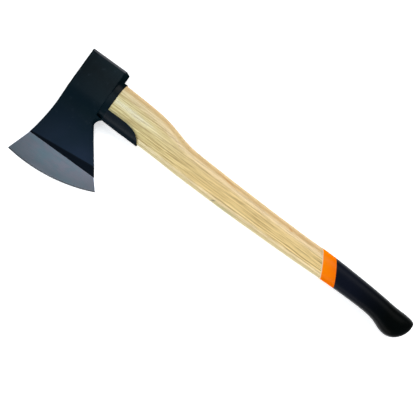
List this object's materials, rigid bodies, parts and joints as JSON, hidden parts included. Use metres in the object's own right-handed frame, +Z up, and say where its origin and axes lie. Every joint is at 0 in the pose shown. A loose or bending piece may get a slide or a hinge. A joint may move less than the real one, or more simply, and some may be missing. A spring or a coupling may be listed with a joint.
{
  "type": "fire axe",
  "caption": "Single-bit fire axe: forged head with flat poll and ground blade, steel overstrike guard, curved ash haft, orange band and black dipped grip ending in a swept knob.",
  "frame": {"origin": "on the resting plane, under the middle of the eye of the head", "axes": "+X along the haft from the head to the knob, +Y from the cutting edge to the poll, +Z up through the thickness with the axe lying on one cheek"},
  "size_m": [0.6159, 0.1881, 0.03],
  "materials": {
    "head_paint": "satin blue-black paint over the forging, with bare ground steel on the bevels",
    "ash_wood": "sanded pale ash with a thin clear lacquer, grain along the haft",
    "wedge_wood": "raw darker hardwood, end grain showing",
    "wedge_steel": "raw steel, hammered flat on top",
    "guard_paint": "satin black paint on bent sheet steel",
    "screw_steel": "blackened steel",
    "orange_coat": "smooth dipped orange coat",
    "black_coat": "satin dipped black coat"
  },
  "bodies": {
    "root": {"axe_head": "head_paint", "haft": "ash_wood", "kerf_wedge": "wedge_wood", "steel_wedges": "wedge_steel", "overstrike_guard": "guard_paint", "guard_screw": "screw_steel", "orange_band": "orange_coat", "grip_coat": "black_coat"}
  },
  "joints": []
}
